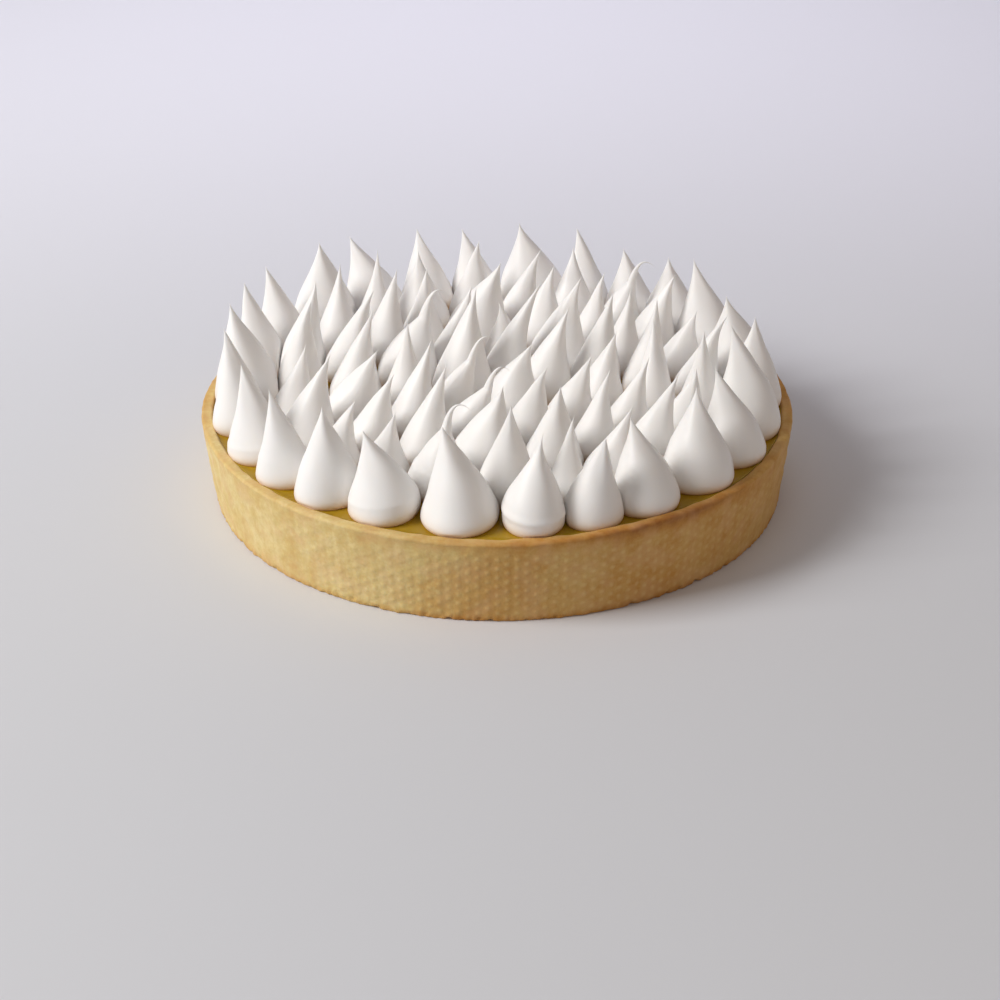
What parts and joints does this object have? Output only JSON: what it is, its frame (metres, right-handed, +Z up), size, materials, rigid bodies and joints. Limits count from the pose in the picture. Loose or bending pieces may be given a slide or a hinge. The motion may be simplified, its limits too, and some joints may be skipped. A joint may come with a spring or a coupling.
{
  "type": "lemon meringue pie",
  "caption": "Round straight-sided lemon meringue tart: a shortcrust shell filled with lemon curd and covered in pointed, unbrowned piped meringue kisses.",
  "frame": {"origin": "middle of the flat underside of the crust", "axes": "+Z up, out of the curd towards the points of the kisses; -Y towards the side that is seen first; the tart is round about Z"},
  "size_m": [0.24, 0.24, 0.0786],
  "materials": {
    "pastry": "baked shortcrust, matte and sandy",
    "curd": "set lemon curd, glossy",
    "meringue": "uncoloured Italian meringue, satin"
  },
  "bodies": {
    "root": {"crust": "pastry", "lemon_curd": "curd", "rim_kiss_01": "meringue", "rim_kiss_02": "meringue", "rim_kiss_03": "meringue", "rim_kiss_04": "meringue", "rim_kiss_05": "meringue", "rim_kiss_06": "meringue", "rim_kiss_07": "meringue", "rim_kiss_08": "meringue", "rim_kiss_09": "meringue", "rim_kiss_10": "meringue", "rim_kiss_11": "meringue", "rim_kiss_12": "meringue", "rim_kiss_13": "meringue", "rim_kiss_14": "meringue", "rim_kiss_15": "meringue", "rim_kiss_16": "meringue", "rim_kiss_17": "meringue", "rim_kiss_18": "meringue", "rim_kiss_19": "meringue", "rim_kiss_20": "meringue", "rim_kiss_21": "meringue", "rim_kiss_22": "meringue", "rim_kiss_23": "meringue", "rim_kiss_24": "meringue", "rim_kiss_25": "meringue", "rim_kiss_26": "meringue", "second_kiss_01": "meringue", "second_kiss_02": "meringue", "second_kiss_03": "meringue", "second_kiss_04": "meringue", "second_kiss_05": "meringue", "second_kiss_06": "meringue", "second_kiss_07": "meringue", "second_kiss_08": "meringue", "second_kiss_09": "meringue", "second_kiss_10": "meringue", "second_kiss_11": "meringue", "second_kiss_12": "meringue", "second_kiss_13": "meringue", "second_kiss_14": "meringue", "second_kiss_15": "meringue", "second_kiss_16": "meringue", "second_kiss_17": "meringue", "second_kiss_18": "meringue", "second_kiss_19": "meringue", "second_kiss_20": "meringue", "second_kiss_21": "meringue", "second_kiss_22": "meringue", "second_kiss_23": "meringue", "centre_kisses": "meringue"}
  },
  "joints": []
}
